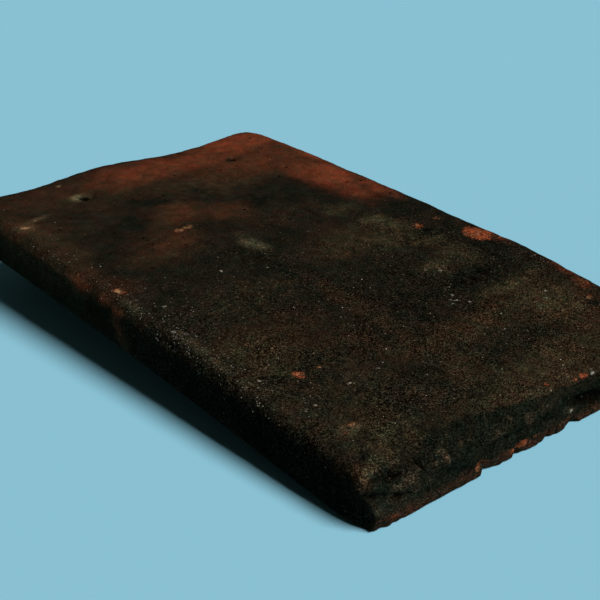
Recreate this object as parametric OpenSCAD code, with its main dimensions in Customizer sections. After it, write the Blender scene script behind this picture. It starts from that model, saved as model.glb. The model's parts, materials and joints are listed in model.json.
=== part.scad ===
// Handmade clay plain roof tile, one fired piece: a cambered slab with worn round arrises,
// two nail holes punched through the face near the head, and two nibs under the head that
// hook over a batten. X runs across the tile, Y from tail to head and Z up. The tile lies
// face up as it rests on a level floor, on its tail and on the tips of its nibs.

/* [Slab] */
// Length from tail to head
tile_length = 265; // [200:1:400]
// Width across the face
tile_width = 165; // [140:1:250]
// Thickness of the slab
tile_thickness = 18.5; // [14:0.5:28]
// Radius in plan of the two corners at the head
head_corner_radius = 12; // [2:0.5:15]
// Radius in plan of the two corners at the tail
tail_corner_radius = 6; // [2:0.5:15]

/* [Camber and warp] */
// Rise of the left side's middle above the line from tail to head
camber_left = 2.4; // [0:0.1:6]
// Rise of the right side's middle above the line from tail to head
camber_right = 3.9; // [0:0.1:6]
// Rise of the middle above the line from side to side
crown_rise = 0.3; // [0:0.1:3]
// Height of the wave that drying left in the head edge
wave_rise = 1.3; // [0:0.1:3]
// Length of that wave across the tile
wave_pitch = 86; // [60:1:200]
// Distance from the middle of the tile to the crest of that wave, to the left
wave_crest = 10.5; // [0:0.5:40]

/* [Arrises] */
// Rounding of the face along the two long sides
side_round = 5; // [1:0.5:8]
// Rounding of the face along the head
head_round = 3; // [1:0.5:8]
// Rounding of the face along the tail, at its left end, which is worn most
tail_round_left = 9; // [1:0.5:10]
// Rounding of the face along the tail, at its right end
tail_round_right = 3; // [1:0.5:10]
// Rounding of the underside all round
back_round = 1.5; // [0.5:0.1:3]

/* [Nail holes] */
// Diameter of a nail hole
hole_diameter = 5.5; // [4:0.5:9]
// Distance between the two hole centres
hole_spacing = 83; // [50:1:100]
// Distance from the tile's centre line to the middle between the holes, to the right
hole_offset = 5; // [0:0.5:10]
// Distance from the head edge to the hole centres
hole_setback = 28.5; // [26:0.5:60]
// Diameter of the funnel that the punch left in the face
funnel_diameter = 10; // [9.5:0.5:16]
// Depth of that funnel
funnel_depth = 1; // [0.5:0.5:5]

/* [Nibs] */
// Width of a nib at its root, across the tile
nib_width = 30; // [20:1:45]
// Length of a nib at its root, along the tile
nib_root = 17; // [14:0.5:18]
// Depth of a nib below the slab
nib_depth = 22; // [12:0.5:24]
// Narrowing of a nib from root to tip, on each sloping side
nib_draft = 4; // [1:0.5:4]
// Distance between the middles of the two nibs
nib_spacing = 86; // [70:1:108]
// Distance from the head edge to the backs of the nibs
nib_setback = 3; // [2:0.5:4]
// Rounding of the nib tips
nib_round = 3; // [1:0.5:3]

/* [Hidden] */

clay_color = [0.20, 0.13, 0.10];
$fn = 64;

// Steps of the slab's mesh: along the straight of the face, and in each rounded arris
length_steps = 14;
face_steps = 22;
back_steps = 10;
round_steps = 6;
back_round_steps = 2;

half_length = tile_length / 2;
half_width = tile_width / 2;

// A cut runs past the faces by this share of the thickness, and a nib runs as far into the slab
overrun_share = 0.5;
overrun = tile_thickness * overrun_share;

// The bearing face of a nib, which hooks on the batten, and the tip corner that meets the floor
nib_face_y = half_length - nib_setback - nib_root;
nib_foot_y = nib_face_y + nib_round;
tail_foot_y = back_round - half_length;

// The floor touches two round corners, at the tail and at the nib tips, so it is their common tangent
foot_run = nib_foot_y - tail_foot_y;
foot_drop = nib_depth + back_round - nib_round;
rest_tilt = atan2(foot_drop, foot_run) + asin((nib_round - back_round) / norm([foot_run, foot_drop]));
rest_lift = back_round * (1 - cos(rest_tilt)) - tail_foot_y * sin(rest_tilt);

// Furthest reach of the tilted tile towards its tail and its head, to centre it on the origin
tail_round_least = min(tail_round_left, tail_round_right);
tail_reach = (half_length - tail_round_least) * cos(rest_tilt) + tail_round_least
    + (tile_thickness - tail_round_least) * sin(rest_tilt);
head_reach = (half_length - back_round) * cos(rest_tilt) + back_round * (1 - sin(rest_tilt));
rest_shift = (tail_reach - head_reach) / 2;

// How far a quarter-round edge of this radius lies back from its corner, at a distance in from that corner
function round_back(radius, inset) =
    inset >= radius ? 0 : radius - sqrt(max(0, radius * radius - pow(radius - inset, 2)));

// Points of a round corner, from one angle to another
function arc(centre, radius, from, to, steps) =
    [for (i = [0:steps]) let (a = from + (to - from) * i / steps) centre + radius * [cos(a), sin(a)]];

// Size at a place across the tile, which changes evenly from its left side to its right side
function between(left, right, x) = left + (right - left) * (x / half_width + 1) / 2;

// Height of the warped slab's underside above the plane through its four corners
function warp(x, y) =
    let (along = y / half_length, across = x / half_width)
    between(camber_left, camber_right, x) * (1 - along * along)
    + crown_rise * (1 - across * across)
    + wave_rise * cos(360 * (x + wave_crest) / wave_pitch) * pow((1 + along) / 2, 3);

// Distance from a place along the tile to the nearer end, and the roundings at that end
function end_distance(y) = half_length - abs(y);
function end_round(x, y) = y > 0 ? head_round : between(tail_round_left, tail_round_right, x);
function corner_radius(y) = y > 0 ? head_corner_radius : tail_corner_radius;

// Height of the face above the underside, which falls away in the rounded ends
function face_height(x, y) = tile_thickness - round_back(end_round(x, y), end_distance(y));

// Half the width at a place along the tile, drawn in by the corners' plan radius
function plan_half_width(y) = half_width - round_back(corner_radius(y), end_distance(y));

// Section across the slab at a place along it, anticlockwise in X and Z from the bottom of the right side
function section(y) =
    let (
        side = plan_half_width(y),
        low = round_back(back_round, end_distance(y)),
        face_edge = side - side_round,
        right_high = face_height(face_edge, y),
        left_high = face_height(-face_edge, y),
        back_edge = side - back_round,
        flat = concat(
            arc([back_edge, low + back_round], back_round, -90, 0, back_round_steps),
            arc([face_edge, right_high - side_round], side_round, 0, 90, round_steps),
            [for (i = [1:face_steps - 1]) let (x = face_edge * (1 - 2 * i / face_steps)) [x, face_height(x, y)]],
            arc([-face_edge, left_high - side_round], side_round, 90, 180, round_steps),
            arc([-back_edge, low + back_round], back_round, 180, 270, back_round_steps),
            [for (i = [1:back_steps - 1]) [back_edge * (2 * i / back_steps - 1), low]]
        )
    )
    [for (p = flat) [p[0], y, p[1] + warp(p[0], y)]];

// Places of the sections along the tile: close together in the rounded ends, even between them
function stations() =
    let (
        tail_end = max(tail_round_left, tail_round_right, tail_corner_radius),
        head_end = max(head_round, head_corner_radius),
        straight = tile_length - tail_end - head_end
    )
    concat(
        [for (i = [0:round_steps - 1]) -half_length + tail_end * (1 - cos(90 * i / round_steps))],
        [for (i = [0:length_steps]) -half_length + tail_end + straight * i / length_steps],
        [for (i = [round_steps - 1:-1:0]) half_length - head_end * (1 - cos(90 * i / round_steps))]
    );

// Solid through a row of sections that have the same number of points
module loft(sections) {
    rows = len(sections);
    ring = len(sections[0]);
    tail_cap = [[for (i = [ring - 1:-1:0]) i]];
    head_cap = [[for (i = [0:ring - 1]) (rows - 1) * ring + i]];
    skin = [
        for (row = [0:rows - 2], i = [0:ring - 1])
        let (a = row * ring + i, b = row * ring + (i + 1) % ring)
        each [[a, b, a + ring], [b, b + ring, a + ring]]
    ];
    polyhedron([for (s = sections) each s], concat(tail_cap, head_cap, skin), convexity = 6);
}

module slab() {
    loft([for (y = stations()) section(y)]);
}

// Hole punched down through the face: a funnel at the top and a round bore below it
module nail_hole(x) {
    y = half_length - hole_setback;
    face_z = tile_thickness + warp(x, y);
    translate([x, y, 0]) {
        translate([0, 0, -overrun]) cylinder(d = hole_diameter, h = face_z + 2 * overrun);
        translate([0, 0, face_z - funnel_depth])
            cylinder(d1 = hole_diameter, d2 = funnel_diameter, h = funnel_depth);
        translate([0, 0, face_z]) cylinder(d = funnel_diameter, h = overrun);
    }
}

// Outline of a nib seen from one side: from its root down to a tip with round corners.
// The left side stands straight when its draft is zero, and the right side always slopes.
module nib_outline(root, left_draft, right_draft) {
    tip_z = nib_round - nib_depth;
    left_tip = [left_draft + nib_round, tip_z];
    right_tip = [root - right_draft - nib_round, tip_z];
    left_slope = atan2(left_draft, nib_depth);
    right_slope = atan2(right_draft, nib_depth);
    polygon(concat(
        [[0, overrun]],
        arc(left_tip, nib_round, 180 + left_slope, 270, round_steps),
        arc(right_tip, nib_round, 270, 360 - right_slope, round_steps),
        [[root, overrun]]
    ));
}

// A nib with a straight bearing face towards the tail, sloping at its back and its two ends
module nib(x) {
    translate([x, nib_face_y, 0])
        intersection() {
            translate([-nib_width / 2, 0, 0])
                rotate([90, 0, 90]) linear_extrude(nib_width) nib_outline(nib_root, 0, nib_draft);
            translate([-nib_width / 2, nib_root, 0])
                rotate([90, 0, 0]) linear_extrude(nib_root) nib_outline(nib_width, nib_draft, nib_draft);
        }
}

module roof_tile() {
    color(clay_color)
        translate([0, rest_shift, rest_lift])
            rotate([rest_tilt, 0, 0])
                union() {
                    difference() {
                        slab();
                        for (side = [-1, 1]) nail_hole(hole_offset + side * hole_spacing / 2);
                    }
                    for (side = [-1, 1]) nib(side * nib_spacing / 2);
                }
}

roof_tile();
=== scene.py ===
import json
import math

import bmesh
import bpy
import numpy as np
from mathutils import Matrix, Vector, noise


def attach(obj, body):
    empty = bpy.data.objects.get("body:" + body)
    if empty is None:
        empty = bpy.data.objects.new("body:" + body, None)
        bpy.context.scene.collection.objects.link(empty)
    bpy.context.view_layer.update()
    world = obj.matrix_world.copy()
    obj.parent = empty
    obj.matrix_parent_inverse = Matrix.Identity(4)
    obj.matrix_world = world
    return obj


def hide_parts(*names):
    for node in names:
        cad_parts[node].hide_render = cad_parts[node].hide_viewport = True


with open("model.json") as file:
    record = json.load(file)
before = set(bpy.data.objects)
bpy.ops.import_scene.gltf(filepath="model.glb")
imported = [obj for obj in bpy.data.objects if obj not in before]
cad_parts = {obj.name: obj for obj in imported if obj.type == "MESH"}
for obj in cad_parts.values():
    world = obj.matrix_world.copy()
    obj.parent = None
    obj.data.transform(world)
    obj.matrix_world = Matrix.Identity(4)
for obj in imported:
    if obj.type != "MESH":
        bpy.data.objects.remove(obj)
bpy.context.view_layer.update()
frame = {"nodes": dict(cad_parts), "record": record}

MM = 0.001
NODE = "roof_tile"
SLOT = "fired_clay"

# The camera as the photo gives it, in the tile's own frame: X across, Y from tail to head, Z out of the face
CAMERA_AZIMUTH = math.radians(-41.36)
CAMERA_ELEVATION = math.radians(27.88)
CAMERA_ROLL = math.radians(2.13)
CAMERA_DISTANCE = 482.9 * MM
CAMERA_TARGET = Vector((1.2, -2.9, 0.0)) * MM
CAMERA_SENSOR = 24.0
CAMERA_LENS = 46.33
CAMERA_NEAR = 10 * MM

# A soft key light from high on the tail's side, a little to the right, and weak even light from all round.
# The backdrop is what the camera and reflections see beyond the floor.
KEY_FROM = Vector((0.17, -0.80, 1.0))
KEY_ANGLE = math.radians(26)
KEY_STRENGTH = 3.2
AMBIENT = (0.02, 0.0215, 0.0165, 1.0)
BACKDROP = (0.26, 0.54, 0.66, 1.0)
FLOOR_COLOUR = (0.31, 0.65, 0.80, 1.0)
FLOOR_SIZE = 12.0
FLOOR_ROUGHNESS = 0.95
FLOOR_SPECULAR = 0.1

# The underside's height is read from points this near to the tail, which are clear of the nibs
TAIL_STRIP = 10 * MM

# The tile's fine mesh: its edge length in millimetres, and the share of it that is left once its underside is
# thinned. The influence holds the thinning to the underside. Within FINE_TAIL millimetres of the broken tail
# the mesh is twice as fine. Points of the CAD mesh within MERGE_DISTANCE millimetres are joined first.
VOXEL = 0.95
KEPT_SHARE = 0.6
THINNING_INFLUENCE = 1000
FINE_TAIL = 9
MERGE_DISTANCE = 0.001

# Height of the relief in millimetres for each size of lump: everywhere, and what the sides, the tail and the
# near left corner have on top of that. The underside is smoother by a share.
RELIEF = {"broad": 0.30, "medium": 0.20, "small": 0.12, "grit": 0.10}
SIDE_RELIEF = {"medium": 0.35, "layers": 0.30, "small": 0.15}
TAIL_RELIEF = {"layers": 0.30, "small": 0.45, "grit": 0.35}
CORNER_RELIEF = {"small": 0.5, "grit": 0.3}
BACK_SMOOTHING = 0.6

# Wear of the arrises in millimetres, everywhere and in their chips, and how far the tail's foot stands out
ARRIS_WEAR = 0.2
ARRIS_CHIP = 0.8
FOOT_RISE = 0.35

# A place on the tail is given by its height plus this share of its distance in over the tail's round arris
ROUND_RISE = 0.7

# Relief and marks are placed in the tile's own frame in millimetres: across from the middle, and along from
# the head or, on the tail, up from the underside. A patch is (place, place, half size, half size, turn in
# degrees, strength). These are the colours of the face.
RED_CLAY = [
    (64, 13, 22, 13, -6, 1.12), (34, 19, 22, 10, -6, 0.75), (6, 20, 24, 12, 0, 0.67),
    (-18, 70, 12, 11, 10, 0.21), (0, 84, 16, 8, -10, 0.12), (-38, 90, 14, 9, 25, 0.14),
    (30, 45, 30, 16, 0, 0.08), (-12, 14, 18, 10, 0, 0.43), (66, 78, 11.5, 22, 0, 1.0),
    (75, 97, 5, 10, 0, 0.75), (79, 42, 4.5, 28, 0, 0.72), (59, 115, 3, 2.5, 0, 0.15),
    (56, 37, 28, 14, 0, 0.36), (77.5, 113, 2.5, 6, 0, 0.3), (-76, 44, 8, 9, 0, 0.12),
    (-76, 100, 6, 8, 0, 0.08), (-74, 117, 6, 7, 0, 0.1), (77, 176, 3.5, 6, 0, 0.3),
    (77.5, 207, 3, 6, 0, 0.4), (76, 221, 3, 4.5, 0, 0.35), (-45, 14, 26, 10, 0, 0.10),
]
BROWN_CLAY = [
    (-18, 70, 12, 11, 10, 1.0), (-36, 88, 14, 9, 25, 0.85), (-48, 100, 18, 7, 20, 0.75),
    (2, 84, 18, 8, -10, 0.75), (10, 98, 30, 8, 0, 0.35), (-45, 18, 34, 14, 0, 0.6),
    (0, 34, 85, 26, 0, 0.4), (-8, 30, 24, 14, 0, 0.8), (20, 34, 18, 8, 0, 0.5), (58, 40, 28, 16, 0, 0.9),
    (-76, 60, 7, 40, 0, 0.8), (-70, 50, 12, 14, 0, 0.5), (-60, 60, 10, 8, 20, 0.45),
    (-10, 182, 4, 24, 0, 0.5), (-52, 182, 22, 16, 0, 0.5), (-30, 196, 14, 10, 0, 0.4),
    (22, 134, 14, 14, 0, 0.5), (15, 146, 4, 5, 0, 0.9), (8, 216, 30, 9, 0, 0.75),
    (55, 232, 18, 20, 20, 0.9), (12, 256, 30, 8, 0, 0.65), (-12, 236, 6, 8, 20, 0.5),
    (20, 250, 30, 8, 0, 0.35), (-60, 238, 10, 5, 0, 0.6), (-77, 257, 5, 5, 0, 0.8),
    (-32, 257, 6, 3, 0, 0.5),
]
OLIVE_DUST = [
    (47, 132, 5.5, 6, 0, 0.85), (53, 139, 5, 5.5, 0, 0.8), (53, 154, 6, 7, 0, 0.9),
    (40, 146, 10, 8, 0, 0.5), (34, 142, 4, 5, 0, 0.6), (36, 178, 7, 6, 0, 0.6), (52, 172, 7, 10, 30, 0.5),
    (48, 206, 16, 4, -10, 0.8), (52, 224, 12, 9, 10, 0.7), (28, 140, 20, 12, 0, 0.3),
    (-60, 225, 24, 22, 0, 0.22), (-30, 240, 30, 16, 0, 0.15), (10, 230, 50, 24, 0, 0.15),
    (-60, 250, 16, 10, 0, 0.5), (-42, 150, 20, 10, 0, 0.3), (20, 56, 28, 11, 0, 0.3),
    (42, 112, 8, 7, 0, 0.4), (-24, 150, 5, 8, 0, 0.35), (-66, 190, 12, 20, 0, 0.35),
    (5, 253, 35, 9, 0, 0.4), (-75, 56, 5, 10, 0, 0.12), (-74, 86, 5, 8, 0, 0.12),
]
SOOT = [
    (-18, 53, 10, 6, 10, 0.8), (5, 62, 8, 9, 30, 0.7), (22, 80, 9, 9, 0, 0.8), (45, 76, 8, 9, 0, 0.6),
    (47, 96, 7, 12, 10, 0.6), (34, 66, 14, 8, 0, 0.5), (-40, 64, 16, 7, 0, 0.5),
    (-46, 84, 16, 7, 0, 0.45), (-66, 92, 8, 8, 0, 0.6), (-12, 94, 7, 7, 0, 0.6), (-12, 104, 6, 5, 0, 0.4),
    (38, 90, 10, 8, 0, 0.6), (64, 132, 11, 8, 0, 0.7), (58, 151, 8, 4, 0, 1.0), (66, 180, 8, 8, 0, 0.8),
    (41, 194.5, 13, 7, -5, 1.0), (52, 190, 6, 6, 0, 0.8), (-17, 148, 4, 14, 5, 0.6),
    (-40, 155, 25, 8, 0, 0.35), (4, 200, 6, 6, 0, 0.5), (16, 208, 12, 4, 0, 0.5), (-5, 211, 6, 4, 0, 0.5),
    (-22, 232, 7, 6, 0, 0.4), (5, 242, 8, 6, 0, 0.4), (32, 240, 10, 6, 0, 0.35), (-50, 240, 8, 5, 0, 0.3),
    (65, 234, 3, 3, 0, 0.9), (-75, 250, 4, 3, 0, 0.7), (-45, 263, 18, 3, 0, 0.8),
    (-72, 263, 8, 4, 0, 0.8), (0, 120, 30, 8, 0, 0.3),
]
SANDY = [
    (0, 215, 95, 70, 0, 1.0), (-40, 150, 50, 30, 0, 0.9), (30, 165, 40, 40, 0, 0.8),
    (-76, 110, 9, 90, 0, 0.9), (0, 160, 90, 40, 0, 0.4),
]
PALE = [
    (-9.2, 118, 4, 7, -15, 0.36), (-8, 107, 2.5, 4, 0, 0.1), (-38.8, 27.8, 3.9, 3.9, 0, 0.85),
    (-75, 44, 4.5, 3.5, 0, 0.22), (46, 128, 4, 3, 40, 0.15), (-66, 38.5, 7, 1.9, -17, 0.2),
    (-78, 132, 2, 7, 0, 0.15), (-76, 168, 2.2, 8, 0, 0.14), (-77.5, 184, 1.8, 8, 0, 0.1),
    (-77.5, 198, 1.8, 5, 0, 0.1), (-75.5, 159, 2, 2, 0, 0.15), (-67, 238.5, 5, 2.6, 0, 0.2),
    (-75, 257.5, 6, 1.2, -10, 0.3), (-71, 254, 4, 1, -10, 0.2),
]
CHIPS = [
    (73.8, 166.8, 5.3, 6.4, -10, 1.1), (77.5, 176, 2, 4, 0, 0.45), (58.3, 144.8, 3, 2.8, 0, 0.5),
    (-67, 39, 6, 1.4, -17, 0.25), (-59.8, 205.3, 2.3, 2.4, 0, 0.7), (-25.5, 87.3, 2.9, 1.7, 0, 0.55),
    (-21, 86.8, 3, 1.6, 5, 0.55), (-38.5, 9.5, 1.6, 2.2, -15, 0.6), (72, 144.5, 2.8, 2.6, 0, 0.4),
    (16, 146, 2, 3, 40, 0.3), (5, 259.5, 2, 1.6, 0, 0.4), (76.5, 221, 1.6, 3, 0, 0.4),
    (-51, 206, 1.2, 1.6, 0, 0.5), (68, 229.5, 2, 1.2, 0, 0.6), (-70, 239, 3, 1.6, 20, 0.3),
    (-76, 119, 2.8, 3.6, 0, 0.55), (-75, 44, 2.8, 3, 0, 0.35), (-64.8, 237.2, 2.2, 1.6, 0, 0.4),
]
CREAM = [
    (-75, 44, 1.9, 1.6, 0, 0.85), (-67, 39, 5, 1.1, -17, 0.3), (-75.6, 118.8, 1.5, 2.2, 20, 0.75),
    (74.2, 165.6, 2.4, 2.6, 0, 0.3), (67.5, 229.4, 1.1, 1, 0, 0.7), (-64.3, 236.9, 1.2, 0.9, 0, 0.75),
    (-51, 206, 1, 1.2, 0, 0.5), (-38.3, 9.3, 1.4, 1.8, -15, 0.6), (-25.5, 87.3, 2.7, 1.5, 0, 0.5),
    (-21, 86.8, 2.8, 1.4, 5, 0.5), (58.5, 144.6, 2.4, 2, 0, 0.4), (72, 144.5, 2, 1.8, 0, 0.35),
    (-79, 96, 1.2, 1.4, 0, 0.4), (-59, 204.8, 1.7, 1.4, 0, 0.4),
]
LIME_SPOTS = [
    (-35, 218.5, 1.1, 0.69, 20, 0.75), (-49.5, 219.3, 0.96, 0.69, 0, 0.75),
    (-34.3, 128.7, 0.69, 0.96, 20, 0.85), (-68.5, 139, 0.69, 0.69, 0, 0.95),
    (-71.8, 156.3, 0.76, 0.69, 0, 0.85), (-76.8, 156, 0.69, 0.69, 0, 0.75), (23, 201, 1.1, 0.69, 0, 0.75),
    (26.3, 199.5, 0.69, 0.69, 0, 0.75), (-71, 223, 0.69, 0.69, 0, 0.75),
    (-67, 222.5, 0.69, 0.69, 0, 0.75), (26.5, 263, 0.83, 0.69, 0, 0.95), (26, 205, 0.69, 0.69, 0, 0.75),
    (57, 217, 0.69, 0.69, 0, 0.75), (-72.5, 200, 0.69, 0.69, 0, 0.75), (0, 188, 0.69, 0.69, 0, 0.65),
    (-18.5, 137.5, 0.69, 0.69, 0, 0.65), (31, 177, 0.69, 0.69, 0, 0.65), (35, 181, 0.83, 0.69, 0, 0.75),
    (21, 199.5, 0.69, 0.69, 0, 0.7), (24.5, 197, 0.69, 0.69, 0, 0.65), (20, 203, 0.69, 0.6, 0, 0.65),
    (45, 176, 0.69, 0.69, 0, 0.6),
]

# Bright sand along the left arris
SPECKS = [
    (-77.5, 165, 5.5, 26, 0, 1.6), (-77.5, 202, 4.5, 18, 0, 1.0), (-77.5, 125, 4.5, 20, 0, 0.8),
    (-70, 150, 9, 12, 0, 0.6), (-76, 75, 6, 32, 0, 0.28),
]

# Swelling of the right side, with its height in millimetres
SWELL = [(84, 184, 13, 22, 0, 1.0)]
SWELL_HEIGHT = 1.1

# Hollows in the face, with their depth and the height of the lumps in them, and the pits in these, painted
# dark as shade
PITTED = [(40, 194, 17, 11, 0, 1.0), (60, 150, 16, 8, -30, 0.7)]
PITTED_DEPTH = 0.4
PITTED_LUMPS = 0.5
PIT = [
    (41, 194, 11, 5, -5, 1.0), (50, 191, 4, 4, 0, 0.8), (60, 149.5, 6, 2.5, 0, 0.6),
    (33, 199, 4, 3, 0, 0.7),
]

# The nail holes, left and right: how dark their insides are painted as shade, and by how much dirt narrows
# them
BORE_SHADE = (0.7, 0.3)
BORE_DIRT = (0.9, 0.9)

# Marks of the tail: dents and knobs, whose strength is a depth or a height in millimetres, fresh red breaks,
# white grit and tan dust. The dents are also painted dark as shade.
TAIL_DENTS = [
    (-79.3, 14.8, 5, 1.3, -18, 1.1), (-72, 11.2, 4.2, 1.2, -22, 1.2), (-65.5, 8.9, 1.5, 1.1, -20, 0.9),
    (-70.1, 18.2, 4, 1.4, -10, 1.2), (-58.9, 18.4, 3.8, 1.1, -73, 1.5), (-56.8, 19.1, 3.2, 1.8, -60, 0.5),
    (-46.9, 9.5, 2.8, 2, -30, 0.7), (-59.9, 10.5, 1.2, 2.2, 20, 0.7), (-57.4, 6.5, 2, 1, -25, 0.7),
    (-40.3, 6.4, 3.5, 1.2, -10, 0.8), (-19.3, 10.6, 5, 1, -8, 0.8), (-12.4, 9.5, 4, 0.9, -3, 0.7),
    (1.6, 8.7, 4, 1.1, -15, 0.7), (12.6, 11.4, 2.2, 1.4, 0, 1.2), (25.5, 8.4, 9.5, 2.5, -13, 2.5),
    (16.8, 10.6, 4.0, 1.3, -24, 1.0), (29.5, 9.6, 3.4, 1.5, 10, 1.6), (-37.2, 13.6, 3, 1.5, -30, 0.5),
    (-81.5, 6.6, 2.5, 1.6, -30, 0.6),
]
TAIL_KNOBS = [
    (-49.8, 18.4, 2.2, 1.2, -30, 0.6), (-48.5, 15.1, 1.2, 1.6, 0, 0.75), (-53.2, 15.1, 1, 0.8, 0, 0.6),
    (-60.1, 19.8, 1.2, 2.4, 15, 0.52), (-65.1, 14.5, 2.2, 2.6, -20, 0.26),
    (-66.8, 22.1, 3.5, 1.1, -12, 0.52), (-70.1, 14.2, 2.2, 1, -20, 0.22), (-40.9, 17.6, 0.9, 0.9, 0, 0.6),
    (-17.9, 17.7, 0.9, 1.4, 0, 0.68), (-8, 13.2, 2, 2.4, 0, 0.22), (13.6, 7.7, 1.4, 1.3, 0, 0.75),
    (10.6, 9.3, 1.2, 1.6, 0, 0.3), (-53.4, 21.7, 1.6, 0.9, -35, 0.38), (-24.2, 13.6, 1.5, 1.2, 0, 0.15),
    (-1.3, 14.1, 3, 1.5, 0, 0.11), (-78.7, 8.2, 3, 2, -20, 0.19), (-60.3, 16.4, 0.9, 0.9, 0, 0.6),
]
TAIL_CHIPS = [
    (-33.6, 4.8, 1.3, 1.8, 10, 0.75), (-29.5, 5.2, 3.8, 1.2, -22, 0.5), (-16.8, 3.8, 1.1, 1.5, 0, 0.75),
    (-12, 4.8, 3.3, 1.6, -15, 0.9), (-7.8, 3.2, 1.2, 0.9, -30, 0.4), (-4, 4.6, 1.9, 1, -20, 0.4),
    (8.8, 3.8, 1.2, 0.9, 0, 0.4), (-71.5, 3.5, 1.8, 1.2, 0, 0.7), (-79.2, 4.6, 1.3, 1, -30, 0.3),
    (-44.5, 3.4, 1.7, 1, -20, 0.3), (-54, 3.3, 1.7, 1, 0, 0.25), (24.5, 4.8, 2.6, 1.3, -20, 0.3),
    (5, 5.2, 3, 1, -15, 0.25), (21.5, 19.8, 2.4, 1.4, -10, 0.75), (17, 20, 1.8, 0.9, -10, 0.4),
    (25, 19.6, 1.2, 1, -10, 0.5), (3.3, 24.3, 3, 1, 0, 0.35),
]
TAIL_LIME = [
    (13.6, 7.4, 1.1, 1.1, 0, 0.6), (14.6, 6.2, 0.6, 0.6, 0, 0.5), (-7.2, 8, 1, 1, 0, 0.25),
    (27.2, 20.2, 0.9, 0.8, 0, 0.5), (26.5, 18, 0.6, 0.6, 0, 0.5), (5, 20.2, 0.6, 0.5, 0, 0.5),
    (-61.3, 17, 0.9, 0.9, 0, 0.25),
]
TAIL_TAN = [
    (-70, 7, 12, 5, -15, 0.45), (-64, 15, 3, 7, 10, 0.39), (-69, 23, 5, 2, -10, 0.45),
    (-60, 12, 5, 5, 0, 0.22), (-56, 4, 20, 3, 0, 0.34), (-8, 14, 2.5, 3, 0, 0.34), (0, 16, 8, 3, 0, 0.11),
    (6, 6, 8, 2, 0, 0.29), (-22, 8, 8, 2, 0, 0.17), (-24, 14, 3, 2, 0, 0.17),
]

# Upper edge of the tail's zone of painted shade: a place across, and a height up the tail
TAIL_EDGE = [
    (-82.5, 17), (-70, 18), (-62, 20), (-54, 24), (-45, 26), (-30, 26), (-23, 23.5), (-10, 22.2),
    (-4, 21), (3, 20), (13, 19), (22, 17.8), (32, 16), (82.5, 16),
]

# Height of the tail's broken lower lip across the tile: a place across, and the height at which it ends
LIP = [
    (-82.5, 4.0), (-78, 2.6), (-72, 1.7), (-60, 1.4), (-45, 1.3), (-36, 1.2), (-31.2, 1.1), (-30.4, 4.0),
    (-28, 3.7), (-22.5, 2.0), (-15.6, 1.6), (-15, 3.1), (-13.5, 2.9), (-6.5, 1.2), (1.2, 1.9), (1.8, 3.4),
    (3.4, 3.2), (8.6, 1.7), (13, 2.2), (17.6, 4.1), (21.5, 1.7), (30, 1.2), (44, 1.2), (44.4, 2.7),
    (56, 1.4), (70, 1.8), (82.5, 3.2),
]

# The solid's round edge takes up the first part of that height. Of the rest, the tail is set back and the
# underside raised by a share, and the raised underside comes down again over a run along the tile.
LIP_ROUND = 0.9
LIP_RECESS = 0.92
LIP_RAISE = 0.35
LIP_RUN = 4.5

# The near left corner is broken off below: how far in from the side at the tail, and how far along the side
CORNER_CUT = 3.2
CORNER_RUN = 32

# Marks of the dark left side: a distance from the head and a height
SIDE_BROWN = [(130, 15, 4.5, 9, 10, 0.5), (60, 16, 40, 6, 0, 0.5), (100, 18, 12, 4, 0, 0.6)]
SIDE_RED = [(129.5, 13, 3, 7, 10, 0.28), (104, 18, 6, 3, 0, 0.3), (119, 19, 4, 2.5, 0, 0.3)]

# The dark clay of the body is a mix of two colours
SOOTY_CLAY = (0.0094, 0.0086, 0.0056, 1)
DARK_CLAY = (0.0152, 0.0125, 0.0083, 1)

# Colours that masks lay over the body, in this order. A layer is (mask, size of the clouds that make it
# patchy in millimetres, by how much they do so, their seed, colour).
LAYERS = [
    # The tail's dark zone is painted shade: the key light falls on the tail face, and this colour darkens it
    ("end", 5, 0.2, 6, (0.0081, 0.0095, 0.0059, 1)),
    # The sides are dark partly in their own colour and partly as painted shade, darker still towards the tail
    ("side", 7, 0.2, 7, (0.0115, 0.0110, 0.0064, 1)),
    ("near", 7, 0.2, 21, (0.0050, 0.0050, 0.0036, 1)),
    ("back", 9, 0.3, 8, (0.0750, 0.0340, 0.0190, 1)),
    ("tan", 3, 0.6, 22, (0.0290, 0.0225, 0.0145, 1)),
    ("knob", 2, 0.5, 23, (0.0800, 0.0560, 0.0330, 1)),
    ("foot", 3, 1.2, 9, (0.0440, 0.0215, 0.0125, 1)),
    ("brown", 6, 0.35, 2, (0.0345, 0.0205, 0.0108, 1)),
    ("olive", 4, 0.9, 3, (0.0450, 0.0360, 0.0180, 1)),
    ("red", 9, 0.35, 4, (0.1520, 0.0385, 0.0170, 1)),
    # Soot, which also carries the painted shade of the tail's dents
    ("soot_and_dent_shade", 6, 0.6, 5, (0.0070, 0.0078, 0.0054, 1)),
    ("pale", 2, 0.6, 10, (0.1350, 0.1120, 0.0600, 1)),
]
# Colours of painted shade: in the nail holes, the pits of the face and the tail's dents, and in small pits
HOLLOW_SHADE_COLOUR = (0.0030, 0.0025, 0.0015, 1)
PIT_SHADE_COLOUR = (0.0030, 0.0028, 0.0016, 1)
CREAM_COLOUR = (0.3300, 0.1900, 0.0980, 1)
LIME_COLOUR = (0.3200, 0.2850, 0.2200, 1)

# Pairs of colours between which the clay varies: fresh in a chip, the tints of its mottling and of its grains
FRESH_CLAY = ((0.1250, 0.0260, 0.0090, 1), (0.2750, 0.0820, 0.0350, 1))
MOTTLE_TINTS = ((1.16, 0.95, 0.92, 1), (0.86, 1.04, 1.02, 1))
GRAIN_TINTS = ((1.06, 0.98, 0.96, 1), (0.95, 1.01, 1.02, 1))

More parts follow.
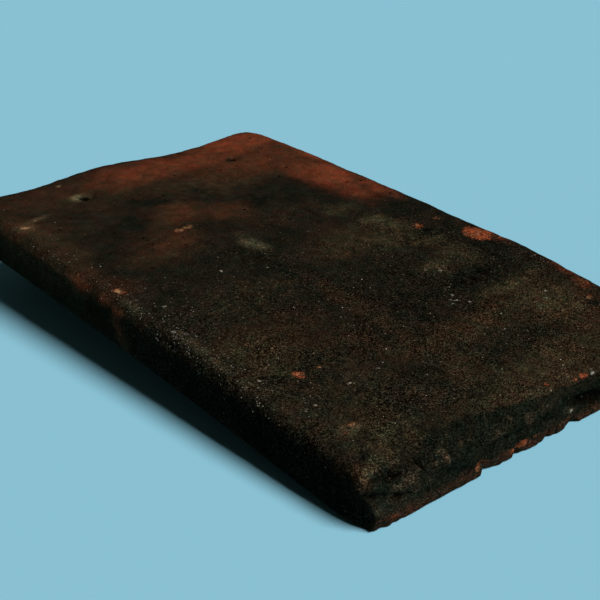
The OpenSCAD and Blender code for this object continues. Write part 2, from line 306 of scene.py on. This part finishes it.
# Darkest and lightest colour of each kind of sand grain
DULL_SAND = ((0.0240, 0.0140, 0.0070, 1), (0.0850, 0.0620, 0.0360, 1))
BRIGHT_SAND = ((0.0600, 0.0400, 0.0220, 1), (0.3600, 0.3000, 0.2200, 1))
SPARKLING_SAND = ((0.0400, 0.0320, 0.0220, 1), (0.3400, 0.3100, 0.2600, 1))
WHITE_LUMPS = ((0.1400, 0.1000, 0.0600, 1), (0.5500, 0.5000, 0.4200, 1))

# How much the tones of the clay vary: the factor from the darkest to the lightest
MOTTLE_CONTRAST = 4.5
ROUGH_CONTRAST = 40
CELL_CONTRAST = 26
GRAIN_CONTRAST = 14

# Size of a grain of the sanded clay, and the strength and depth of the bump that the grains give
CELL_SIZE = 0.36
BUMP_STRENGTH = 0.9
BUMP_DEPTH = 0.7 * MM


def tile_matrix(node):
    """Place of the tile's own frame: the middle of its underside, tilted as it rests."""
    axis = Vector(frame["record"]["mounts"][0]["axis"])
    turn = Matrix.Rotation(math.atan2(-axis.y, axis.z), 4, "X")
    flat = np.array([turn.inverted() @ v.co for v in node.data.vertices])
    low, high = flat.min(0), flat.max(0)
    tail = flat[flat[:, 1] < low[1] + TAIL_STRIP]
    origin = Vector(((low[0] + high[0]) / 2, (low[1] + high[1]) / 2, tail[:, 2].min()))
    return turn @ Matrix.Translation(origin)


def ramp(low, high, value):
    """Smooth step from 0 at low to 1 at high."""
    t = np.clip((value - low) / (high - low), 0, 1)
    return t * t * (3 - 2 * t)


def patch(u, v, place_u, place_v, half_u, half_v, turn, blur):
    """Soft ellipse: 1 inside, 0 outside."""
    c, s = math.cos(math.radians(turn)), math.sin(math.radians(turn))
    du, dv = u - place_u, v - place_v
    reach = np.hypot((c * du + s * dv) / half_u, (c * dv - s * du) / half_v)
    return 1 - ramp(1 - blur, 1 + blur, reach)


def painted(patches, u, v, blur):
    """Mask that holds the strongest of some patches at each place."""
    mask = np.zeros(len(u))
    for place_u, place_v, half_u, half_v, turn, strength in patches:
        mask = np.maximum(mask, strength * patch(u, v, place_u, place_v, half_u, half_v, turn, blur))
    return mask


def vertex_values(mesh, name):
    """Places or normals of a mesh's points, one row a point."""
    values = np.empty(3 * len(mesh.vertices))
    mesh.vertices.foreach_get(name, values)
    return values.reshape(-1, 3)


def with_modifier(mesh, kind, group=None, **settings):
    """New mesh that a modifier makes from this one, which is removed; group says which points it works on."""
    holder = bpy.data.objects.new("holder", mesh)
    bpy.context.scene.collection.objects.link(holder)
    modifier = holder.modifiers.new(kind, kind)
    if group is not None:
        weights = holder.vertex_groups.new(name="weights")
        weights.add(np.flatnonzero(group).tolist(), 1.0, "REPLACE")
        modifier.vertex_group = weights.name
    for name, value in settings.items():
        setattr(modifier, name, value)
    made = bpy.data.meshes.new_from_object(holder.evaluated_get(bpy.context.evaluated_depsgraph_get()))
    bpy.data.objects.remove(holder)
    bpy.data.meshes.remove(mesh)
    return made


def fine_mesh(node, place):
    """Copy of the CAD mesh in the tile's own frame, in small faces that are finest at the tail."""
    mesh = node.data.copy()
    mesh.transform(place.inverted())
    shape = bmesh.new()
    shape.from_mesh(mesh)
    bmesh.ops.remove_doubles(shape, verts=shape.verts, dist=MERGE_DISTANCE * MM)
    shape.to_mesh(mesh)
    shape.free()
    mesh = with_modifier(mesh, "REMESH", mode="VOXEL", voxel_size=VOXEL * MM)

    # Thin the underside, apart from a strip at the tail, and the nibs
    points = vertex_values(mesh, "co") / MM
    from_tail = points[:, 1] - points[:, 1].min()
    facing_down = vertex_values(mesh, "normal")[:, 2] < -0.9
    underside = facing_down & (from_tail > 2 * FINE_TAIL) | (points[:, 2] < -1)
    mesh = with_modifier(
        mesh, "DECIMATE", group=underside, ratio=KEPT_SHARE, vertex_group_factor=THINNING_INFLUENCE
    )

    # Halve the edges at the tail
    shape = bmesh.new()
    shape.from_mesh(mesh)
    tail_end = min(v.co.y for v in shape.verts) + FINE_TAIL * MM
    tail_edges = [e for e in shape.edges if max(v.co.y for v in e.verts) < tail_end]
    bmesh.ops.subdivide_edges(shape, edges=tail_edges, cuts=1, use_grid_fill=True)
    bmesh.ops.triangulate(shape, faces=[f for f in shape.faces if len(f.verts) > 4])
    shape.to_mesh(mesh)
    shape.free()
    mesh.materials.clear()
    return mesh


class Surface:
    """Points of the fine mesh in millimetres, and how far each belongs to a part of the tile."""

    def __init__(self, mesh, holes):
        self.points = vertex_values(mesh, "co") / MM
        self.normals = vertex_values(mesh, "normal")
        self.x, self.y, self.z = self.points.T
        half_length = self.y.max()
        self.from_head = half_length - self.y
        self.from_tail = half_length + self.y
        self.from_left = self.x.max() + self.x
        self.up_tail = self.z + ROUND_RISE * self.from_tail
        along, up = self.normals[:, 1], self.normals[:, 2]
        self.face = ramp(0.5, 0.85, up)
        self.back = ramp(0.3, 0.75, -up)
        self.tail = ramp(0.1, 0.5, -along) * ramp(16, 8, self.from_tail)
        self.sides = (1 - self.face) * (1 - self.back) * (1 - self.tail)
        self.arris = ramp(0.25, 0.6, up) * ramp(0.98, 0.85, up)
        self.bore = np.zeros(len(self.x))
        self.dirt = np.zeros((len(self.x), 3))
        # The bore walls of the nail holes are marked to be painted dark as shade; dirt narrows their mouths
        for (centre, radius), dark, dirt in zip(holes, BORE_SHADE, BORE_DIRT):
            inwards = np.array(centre)[:2] - self.points[:, :2]
            reach = np.hypot(*inwards.T)
            wall = dark * ramp(radius + 0.9, radius + 0.3, reach) * ramp(0.8, 0.4, up)
            self.bore = np.maximum(self.bore, wall)
            mouth = dirt * ramp(radius + 2.5, radius, reach) * ramp(8, 14, self.z)
            self.dirt[:, :2] += inwards * (mouth / reach)[:, None]

    def lumps(self, size, seed, stretch=(1, 1, 1)):
        """Smooth noise between about -1 and 1 whose lumps have this size."""
        cells = self.points / (size * np.array(stretch)) + 17.3 * seed
        return np.array([noise.noise(p) for p in cells.tolist()])

    def shifted(self, values, size, amount, seed):
        """Values that noise of this size shifts by up to about this amount."""
        return values + amount * self.lumps(size, seed)


def worn_points(s):
    """Points moved into the handmade, worn and broken shape, and the depth of the tail's dents."""
    lumps = {
        "broad": s.lumps(size=42, seed=1),
        "medium": s.lumps(size=15, seed=2),
        "small": s.lumps(size=6, seed=3),
        "grit": s.lumps(size=2.4, seed=4),
        "layers": s.lumps(size=5, seed=5, stretch=(4, 4, 1)),
    }
    small, grit = lumps["small"], lumps["grit"]

    def relief(heights):
        return sum(height * lumps[name] for name, height in heights.items())

    # Unevenness of hand moulding, and coarse layered clay on the sides and the tail
    lift = relief(RELIEF)
    lift += s.sides * relief(SIDE_RELIEF)
    lift += s.tail * relief(TAIL_RELIEF)

    # Worn and chipped arrises, less so towards the right side
    chipped = ramp(0.1, 0.5, s.lumps(size=5, seed=6))
    lift -= s.arris * (ARRIS_WEAR + ARRIS_CHIP * chipped) * ramp(95, 50, s.x)

    # The lumpy near left corner, the hollows in the face and the swelling of the right side
    lift += ramp(34, 10, np.hypot(s.from_left, s.from_tail)) * relief(CORNER_RELIEF)
    lift += painted(PITTED, s.x, s.from_head, blur=0.4) * s.face * (PITTED_LUMPS * small - PITTED_DEPTH)
    lift += SWELL_HEIGHT * painted(SWELL, s.x, s.from_head, blur=0.9) * (1 - s.back)
    lift *= 1 - BACK_SMOOTHING * s.back

    # Dents and knobs of the tail, and its foot, which stands out below them
    across = s.shifted(s.x, size=3.5, amount=0.7, seed=14)
    height = s.shifted(s.up_tail, size=3.0, amount=0.6, seed=15)
    unevenness = s.shifted(0.95, size=2.6, amount=0.6, seed=22)
    dents = s.tail * painted(TAIL_DENTS, across, height, blur=0.6) * unevenness
    lift += s.tail * painted(TAIL_KNOBS, across, height, blur=0.6) - dents
    lift += s.tail * FOOT_RISE * ramp(7.5, 5.5, height)
    moved = s.points + lift[:, None] * s.normals + s.dirt

    # The lower lip of the tail is broken, which leaves it ragged in plan and a little clear of the floor
    places, heights = np.array(LIP).T
    lip = np.maximum(np.interp(s.x + 0.4 * small, places, heights) - LIP_ROUND + 0.7 * grit, 0)
    recess = LIP_RECESS * lip
    broken = 1 - np.clip(s.z / (2 + 1.5 * lip), 0, 1)
    moved_along = lift * s.normals[:, 1]
    from_tail = np.maximum(s.from_tail + moved_along, recess * broken)
    moved[:, 1] += from_tail - s.from_tail - moved_along
    lowest = LIP_RAISE * lip * (1 - np.clip((from_tail - recess) / LIP_RUN, 0, 1) ** 2)
    in_lip = from_tail < LIP_RUN + recess
    moved[:, 2] = np.where(in_lip, np.maximum(moved[:, 2], lowest), moved[:, 2])

    # The near left corner is broken off below
    nearness = 1 - np.clip(s.from_tail / CORNER_RUN, 0, 1)
    cut = CORNER_CUT * nearness ** 2 * ramp(16, 6, s.z) * (1 + 0.6 * small)
    moved[:, 0] = np.maximum(moved[:, 0], s.x.min() + cut)
    return moved, dents


def finish_masks(s, dents):
    """Masks that place the colours of the finish and of its painted shade. Noise shifts the places, so that
    no edge is clean.
    """
    u = s.shifted(s.shifted(s.x, size=28, amount=6, seed=7), size=9, amount=2.5, seed=8)
    v = s.shifted(s.shifted(s.from_head, size=28, amount=6, seed=9), size=9, amount=2.5, seed=10)
    near_u = s.shifted(s.x, size=3, amount=0.8, seed=11)
    near_v = s.shifted(s.from_head, size=3, amount=0.8, seed=12)
    near_w = s.shifted(s.up_tail, size=3, amount=0.8, seed=13)

    def spots(on_face, on_tail, blur):
        face = s.face * painted(on_face, near_u, near_v, blur)
        return np.maximum(face, s.tail * painted(on_tail, near_u, near_w, blur))

    # The long sides and the head end, dark partly in their own colour and partly as painted shade, with an
    # uneven margin of the left side on the face that is painted as the shade of its rounded arris, and the
    # nibs
    from_left = s.shifted(s.shifted(s.from_left, size=4, amount=1.5, seed=17), size=12, amount=1.5, seed=18)
    margin = ramp(4.2, 0.8, from_left) * (1 - s.back)
    nib = ramp(0, -2, s.z)
    off_tail = ramp(1, 12, s.shifted(s.from_tail, size=5, amount=2, seed=25))
    side = np.maximum(s.sides, margin) * off_tail * (1 - nib)
    margin_sand = 0.9 * ramp(0.1, 0.5, margin) * ramp(0.9, 0.5, margin)

    # The tail's dark zone, painted as shade against the key light that falls on the tail face, and the face
    # without it
    places, heights = np.array(TAIL_EDGE).T
    over_edge = s.shifted(near_w, size=8, amount=1.0, seed=19) - np.interp(s.x, places, heights)
    end = ramp(1.0, -1.0, over_edge) * ramp(18, 12, s.from_tail) * (1 - s.back)
    face = s.face * (1 - end)

    # Red clay, which runs on over the head end and the right side near the head, and shows on the left side
    red_sides = np.maximum(ramp(14, 6, s.from_head), ramp(60, 80, s.x) * ramp(125, 95, s.from_head))
    red = np.maximum(s.face, s.sides * red_sides) * painted(RED_CLAY, u, v, blur=0.9)
    red += side * (s.x < 0) * painted(SIDE_RED, v, s.z, blur=0.8)

    # Grain of the sanded clay: most towards the tail, less on the tail itself, in chips and on the underside
    chip = spots(CHIPS, TAIL_CHIPS, blur=0.6)
    grit = np.maximum(0.2 + 0.8 * ramp(60, 180, s.from_head), 0.5 * ramp(14, 6, s.from_left))
    grit *= np.clip(s.shifted(0.95, size=16, amount=0.6, seed=23), 0.4, 1.25)
    grit *= 1 - 0.35 * s.tail
    grit *= 1 - 0.6 * chip
    grit *= 1 - 0.5 * s.back

    # Pits of the face, painted dark as shade
    pit = s.face * painted(PIT, u, v, blur=0.5) * ramp(-0.3, 0.2, s.lumps(size=4, seed=20))
    rim = np.minimum(np.minimum(s.from_left, s.from_tail), s.x.max() - s.x)
    inner_back = s.back * ramp(2, 9, s.shifted(rim, size=6, amount=2, seed=21))
    high = ramp(15, 19, s.shifted(s.z, size=5, amount=2, seed=24))
    return {
        "red": red,
        "brown": np.maximum(
            face * painted(BROWN_CLAY, u, v, blur=0.9), side * painted(SIDE_BROWN, v, s.z, blur=0.8)
        ),
        "olive": face * painted(OLIVE_DUST, u, v, blur=0.8),
        "tan": s.tail * painted(TAIL_TAN, near_u, near_w, blur=0.6),
        "knob": s.tail * painted(TAIL_KNOBS, near_u, near_w, blur=0.6),
        # Soot on the face, and painted shade in the tail's dents
        "soot_and_dent_shade": np.maximum(s.face * painted(SOOT, u, v, blur=0.7), 0.6 * dents),
        "sand": np.maximum(face * painted(SANDY, u, v, blur=0.6), margin_sand),
        "grit": grit,
        "fine": ramp(110, 215, s.from_head),
        "rough": np.maximum(0.4 * s.tail, 0.3 * side),
        "speck": 0.8 * painted(SPECKS, s.x, v, blur=0.7) * high,
        "pale": s.face * painted(PALE, near_u, near_v, blur=0.6),
        "chip": chip,
        "cream": s.face * painted(CREAM, near_u, near_v, blur=0.7),
        "lime": spots(LIME_SPOTS, TAIL_LIME, blur=0.6),
        # The tail's dark zone is painted shade
        "end": end,
        # The sides and the left margin are dark partly in their own colour and partly as painted shade
        "side": side,
        "near": side * ramp(60, 240, s.from_head),
        "foot": s.tail * ramp(6.5, 3, near_w) * (0.7 + 0.3 * ramp(-45, -35, s.x)),
        "back": np.maximum(inner_back, nib),
        # Painted shade in the nail holes, the pits of the face and the tail's dents
        "hollow_shade": np.maximum(np.maximum(s.bore, 0.9 * pit), 0.85 * ramp(0.4, 1.4, dents)),
    }


def weather(mesh, holes):
    """Gives the fine mesh its worn shape and stores the masks of its finish and its painted shade on it."""
    surface = Surface(mesh, holes)
    moved, dents = worn_points(surface)
    mesh.vertices.foreach_set("co", (moved * MM).ravel())
    for name, mask in finish_masks(surface, dents).items():
        mesh.attributes.new(name, "FLOAT", "POINT").data.foreach_set("value", mask.astype(np.float32))
    mesh.update()


class Finish:
    """Node tree of a material, with short calls to add nodes to it. Sizes are in millimetres."""

    def __init__(self, name):
        self.material = bpy.data.materials.new(name)
        self.material.use_nodes = True
        self.tree = self.material.node_tree
        self.shader = self.tree.nodes["Principled BSDF"]
        coordinates = self.tree.nodes.new("ShaderNodeTexCoord")
        scale = self.tree.nodes.new("ShaderNodeVectorMath")
        scale.operation = "SCALE"
        scale.inputs["Scale"].default_value = 1 / MM
        self.link(coordinates.outputs["Object"], scale.inputs[0])
        self.place = scale.outputs[0]

    def link(self, value, socket):
        """Sets an input to a value, or links it to another node's output."""
        if isinstance(value, bpy.types.NodeSocket):
            self.tree.links.new(value, socket)
        else:
            socket.default_value = value

    def mask(self, name):
        """Mask of this name on the mesh."""
        node = self.tree.nodes.new("ShaderNodeAttribute")
        node.attribute_name = name
        return node.outputs["Fac"]

    def math(self, operation, a, b=0.0, c=0.0):
        """Result of an operation on up to three values."""
        node = self.tree.nodes.new("ShaderNodeMath")
        node.operation = operation
        for value, socket in zip((a, b, c), node.inputs):
            self.link(value, socket)
        return node.outputs[0]

    def spread(self, value, low, high, to_low=0.0, to_high=1.0):
        """Value whose range from low to high is mapped to another range, smoothly and with its ends held."""
        node = self.tree.nodes.new("ShaderNodeMapRange")
        node.interpolation_type = "SMOOTHSTEP"
        sockets = ("Value", "From Min", "From Max", "To Min", "To Max")
        for name, setting in zip(sockets, (value, low, high, to_low, to_high)):
            self.link(setting, node.inputs[name])
        return node.outputs["Result"]

    def mix(self, factor, a, b, blend="MIX"):
        """Colour a, changed to b by this factor."""
        node = self.tree.nodes.new("ShaderNodeMix")
        node.data_type = "RGBA"
        node.blend_type = blend
        self.link(factor, node.inputs["Factor"])
        self.link(a, node.inputs["A"])
        self.link(b, node.inputs["B"])
        return node.outputs["Result"]

    def times(self, colour, multiplier):
        """Colour multiplied by another colour or by a value."""
        return self.mix(1.0, colour, multiplier, "MULTIPLY")

    def noise(self, size, detail, rough, seed):
        """Cloudy noise from 0 to 1 whose clouds have this size."""
        node = self.tree.nodes.new("ShaderNodeTexNoise")
        node.noise_dimensions = "4D"
        self.link(self.place, node.inputs["Vector"])
        node.inputs["W"].default_value = seed
        node.inputs["Scale"].default_value = 1 / size
        node.inputs["Detail"].default_value = detail
        node.inputs["Roughness"].default_value = rough
        return node.outputs["Fac"]

    def contrast(self, value, factor, amount=1.0):
        """Multiplier around 1 that grows by this factor over the range of a noise value."""
        power = self.math("MULTIPLY", self.math("SUBTRACT", value, 0.5), amount)
        return self.math("POWER", factor, power)

    def even_contrast(self, value, factor, amount):
        """Such a multiplier for a value as often high as low, lowered so that its mean stays near 1."""
        width = math.log(factor)
        lean = math.log((factor ** 0.5 - factor ** -0.5) / width) / width
        squared = self.math("MULTIPLY", amount, amount)
        dim = self.math("POWER", factor, self.math("MULTIPLY", squared, -lean))
        return self.math("MULTIPLY", self.contrast(value, factor, amount), dim)

    def cells(self, size):
        """Distance from the middle of the nearest cell of this size, and two random values of that cell."""
        node = self.tree.nodes.new("ShaderNodeTexVoronoi")
        self.link(self.place, node.inputs["Vector"])
        node.inputs["Scale"].default_value = 1 / size
        split = self.tree.nodes.new("ShaderNodeSeparateColor")
        self.link(node.outputs["Color"], split.inputs[0])
        return node.outputs["Distance"], split.outputs[0], split.outputs[1]

    def grains(self, size, share, edge):
        """Spots in a share of such cells, up to edge cells in radius, and a random tone of each."""
        reach, chance, tone = self.cells(size)
        spot = self.spread(reach, edge, edge / 2)
        return self.math("MULTIPLY", spot, self.math("LESS_THAN", chance, share)), tone

    def sand(self, body, colours, size, share, edge, lean=1.0):
        """Colour with such spots on it, and the spots; with a lean over 1 fewer of them are light."""
        spots, tone = self.grains(size, share, edge)
        return self.mix(spots, body, self.mix(self.math("POWER", tone, lean), *colours)), spots

    def patchy(self, name, size, width, seed):
        """Mask that noise of this size makes stronger and weaker."""
        clouds = self.noise(size, detail=5, rough=0.65, seed=seed)
        return self.math("MULTIPLY", self.mask(name), self.spread(clouds, 0.32, 0.68, 1 - width, 1 + width))

    def ragged(self, name, size, seed):
        """Mask that noise of this size breaks up into a ragged spot, or into specks where it is weak."""
        mask = self.mask(name)
        clouds = self.noise(size, detail=4, rough=0.7, seed=seed)
        shift = self.math("MULTIPLY", self.math("SUBTRACT", clouds, 0.5), 2.4)
        spot = self.spread(self.math("ADD", mask, shift), 0.30, 0.85)
        return self.math("MULTIPLY", spot, self.spread(mask, 0.05, 0.25))


def clay_colours(f):
    """Colour of the weathered clay without its grain, with painted shade in its hollows and on its sides."""
    clouds = f.noise(size=12, detail=5, rough=0.65, seed=1)
    body = f.mix(f.spread(clouds, 0.35, 0.65), SOOTY_CLAY, DARK_CLAY)
    for name, size, width, seed, colour in LAYERS:
        body = f.mix(f.patchy(name, size, width, seed), body, colour)
    # Painted shade in the nail holes, the pits of the face and the tail's dents
    body = f.mix(f.mask("hollow_shade"), body, HOLLOW_SHADE_COLOUR)

    # Clay that shows where the surface is chipped, and cream spots in it
    clouds = f.noise(size=1.2, detail=3, rough=0.7, seed=14)
    fresh = f.mix(f.spread(clouds, 0.38, 0.62), *FRESH_CLAY)
    body = f.mix(f.ragged("chip", size=1.6, seed=15), body, fresh)
    return f.mix(f.ragged("cream", size=1.2, seed=16), body, CREAM_COLOUR)


def clay_finish():
    """Sooty, sanded and weathered red clay with painted shade, with its colours placed by the masks on the
    mesh.
    """
    f = Finish(SLOT)
    body = clay_colours(f)

    # Mottling in tone and in hue
    body = f.times(body, f.contrast(f.noise(size=5, detail=4, rough=0.6, seed=11), MOTTLE_CONTRAST))
    clouds = f.noise(size=6, detail=4, rough=0.7, seed=12)
    body = f.times(body, f.mix(f.spread(clouds, 0.38, 0.62), *MOTTLE_TINTS))
    clouds = f.noise(size=2.2, detail=4, rough=0.7, seed=24)
    body = f.times(body, f.contrast(clouds, ROUGH_CONTRAST, f.mask("rough")))

    # Grains of the sanded clay, each with a hue and a tone of its own, and small pits between them, painted
    # dark as shade
    grit, fine = f.mask("grit"), f.mask("fine")
    reach, tone, tint = f.cells(CELL_SIZE)
    body = f.mix(grit, body, f.times(body, f.mix(tint, *GRAIN_TINTS)))
    amount = f.math("MULTIPLY", grit, f.spread(fine, 0, 1, 0.82, 1.1))
    body = f.times(body, f.even_contrast(tone, CELL_CONTRAST, amount))
    grain = f.noise(size=0.8, detail=2, rough=0.7, seed=13)
    amount = f.math("MULTIPLY", grit, f.spread(fine, 0, 1, 1.25, 0.7))
    body = f.times(body, f.contrast(grain, GRAIN_CONTRAST, amount))
    # The small pits are painted dark as shade
    pit, depth = f.grains(size=3.2, share=0.14, edge=0.30)
    body = f.mix(f.math("MULTIPLY", pit, depth), body, PIT_SHADE_COLOUR)

    # Sand in the surface: dull and bright grains in clusters, more along the left arris, and white lumps
    clouds = f.noise(size=9, detail=3, rough=0.6, seed=17)
    cluster = f.math("MULTIPLY", f.mask("sand"), f.spread(clouds, 0.35, 0.65, 0.25, 1.0))
    cluster = f.math("ADD", cluster, f.patchy("speck", size=4, width=0.8, seed=25))
    share = f.math("MULTIPLY_ADD", cluster, 0.16, 0.015)
    body, dull = f.sand(body, DULL_SAND, size=1.1, share=share, edge=0.42)
    share = f.math("MULTIPLY_ADD", cluster, 0.17, 0.006)
    body, bright = f.sand(body, BRIGHT_SAND, size=1.3, share=share, edge=0.24, lean=2.0)
    share = f.math("MULTIPLY", f.patchy("speck", size=4, width=0.8, seed=26), 0.3)
    body = f.sand(body, SPARKLING_SAND, size=0.8, share=share, edge=0.36)[0]
    share = f.math("MULTIPLY_ADD", cluster, 0.08, 0.002)
    body, lumps = f.sand(body, WHITE_LUMPS, size=2.4, share=share, edge=0.14)
    body = f.mix(f.ragged("lime", size=1.2, seed=18), body, LIME_COLOUR)
    f.link(body, f.shader.inputs["Base Color"])

    # Bump: clouds and grains, gaps between the grains, sand that stands out, and pits
    height = f.math("MULTIPLY", f.noise(size=3, detail=3, rough=0.6, seed=19), 0.6)
    gaps = f.math("MULTIPLY", reach, grit)
    sand = f.math("ADD", f.math("ADD", dull, bright), lumps)
    for value, rise in ((grain, 0.5), (gaps, -0.3), (sand, 0.2), (pit, -0.4)):
        height = f.math("MULTIPLY_ADD", value, rise, height)
    bump = f.tree.nodes.new("ShaderNodeBump")
    bump.inputs["Strength"].default_value = BUMP_STRENGTH
    bump.inputs["Distance"].default_value = BUMP_DEPTH
    f.link(height, bump.inputs["Height"])
    f.link(bump.outputs["Normal"], f.shader.inputs["Normal"])

    clouds = f.noise(size=8, detail=3, rough=0.6, seed=20)
    f.link(f.spread(clouds, 0.3, 0.7, 0.82, 0.98), f.shader.inputs["Roughness"])
    f.shader.inputs["Specular IOR Level"].default_value = 0.0
    return f.material


def nail_holes(place):
    """Centre in the tile's own frame and radius of each nail hole, in millimetres."""
    bores = [m for m in frame["record"]["mounts"] if m["kind"] == "bore"]
    return [(place.inverted() @ Vector(m["pos_m"]) / MM, m["dims"]["r_mm"]) for m in bores]


def add_tile(place):
    """The weathered tile, which replaces the CAD node."""
    mesh = fine_mesh(frame["nodes"][NODE], place)
    weather(mesh, nail_holes(place))
    mesh.transform(place)
    mesh.materials.append(clay_finish())
    mesh.shade_smooth()
    piece = bpy.data.objects.new("weathered_tile", mesh)
    bpy.context.scene.collection.objects.link(piece)
    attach(piece, "root")
    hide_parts(NODE)


def add_camera(place):
    """Camera at the photo's viewing angle, given in the tile's own frame."""
    az, el, roll = CAMERA_AZIMUTH, CAMERA_ELEVATION, CAMERA_ROLL
    back = Vector((math.sin(az) * math.cos(el), -math.cos(az) * math.cos(el), math.sin(el)))
    level = Vector((math.cos(az), math.sin(az), 0.0))
    rise = back.cross(level)
    right = math.cos(roll) * level + math.sin(roll) * rise
    up = back.cross(right)
    pose = Matrix((right, up, back)).transposed().to_4x4()
    pose.translation = CAMERA_TARGET + back * CAMERA_DISTANCE
    data = bpy.data.cameras.new("camera")
    data.sensor_fit = "HORIZONTAL"
    data.sensor_width = CAMERA_SENSOR
    data.lens = CAMERA_LENS
    data.clip_start = CAMERA_NEAR
    camera = bpy.data.objects.new("camera", data)
    camera.matrix_world = place @ pose
    bpy.context.scene.collection.objects.link(camera)
    bpy.context.scene.camera = camera


def add_floor():
    """Plain pale floor under the tile."""
    half = FLOOR_SIZE / 2
    corners = [(-half, -half, 0), (half, -half, 0), (half, half, 0), (-half, half, 0)]
    mesh = bpy.data.meshes.new("floor")
    mesh.from_pydata(corners, [], [(0, 1, 2, 3)])
    floor = bpy.data.objects.new("floor", mesh)
    bpy.context.scene.collection.objects.link(floor)
    material = bpy.data.materials.new("floor")
    material.use_nodes = True
    shader = material.node_tree.nodes["Principled BSDF"]
    shader.inputs["Base Color"].default_value = FLOOR_COLOUR
    shader.inputs["Roughness"].default_value = FLOOR_ROUGHNESS
    shader.inputs["Specular IOR Level"].default_value = FLOOR_SPECULAR
    mesh.materials.append(material)


def add_light():
    """Key light, and a world that lights weakly and shows the backdrop to the camera and to reflections."""
    data = bpy.data.lights.new("key", "SUN")
    data.angle = KEY_ANGLE
    data.energy = KEY_STRENGTH
    key = bpy.data.objects.new("key", data)
    key.rotation_euler = KEY_FROM.to_track_quat("Z", "Y").to_euler()
    bpy.context.scene.collection.objects.link(key)
    world = bpy.data.worlds.new("world")
    world.use_nodes = True
    tree = world.node_tree
    ray = tree.nodes.new("ShaderNodeLightPath")
    seen = ray.outputs["Is Camera Ray"]
    for name in ("Is Glossy Ray", "Is Transmission Ray"):
        either = tree.nodes.new("ShaderNodeMath")
        either.operation = "MAXIMUM"
        tree.links.new(seen, either.inputs[0])
        tree.links.new(ray.outputs[name], either.inputs[1])
        seen = either.outputs[0]
    shown = tree.nodes.new("ShaderNodeMix")
    shown.data_type = "RGBA"
    shown.inputs["A"].default_value = AMBIENT
    shown.inputs["B"].default_value = BACKDROP
    tree.links.new(seen, shown.inputs["Factor"])
    tree.links.new(shown.outputs["Result"], tree.nodes["Background"].inputs["Color"])
    bpy.context.scene.world = world


tile_place = tile_matrix(frame["nodes"][NODE])
add_tile(tile_place)
add_camera(tile_place)
add_floor()
add_light()

bpy.context.scene.view_settings.view_transform = "Standard"
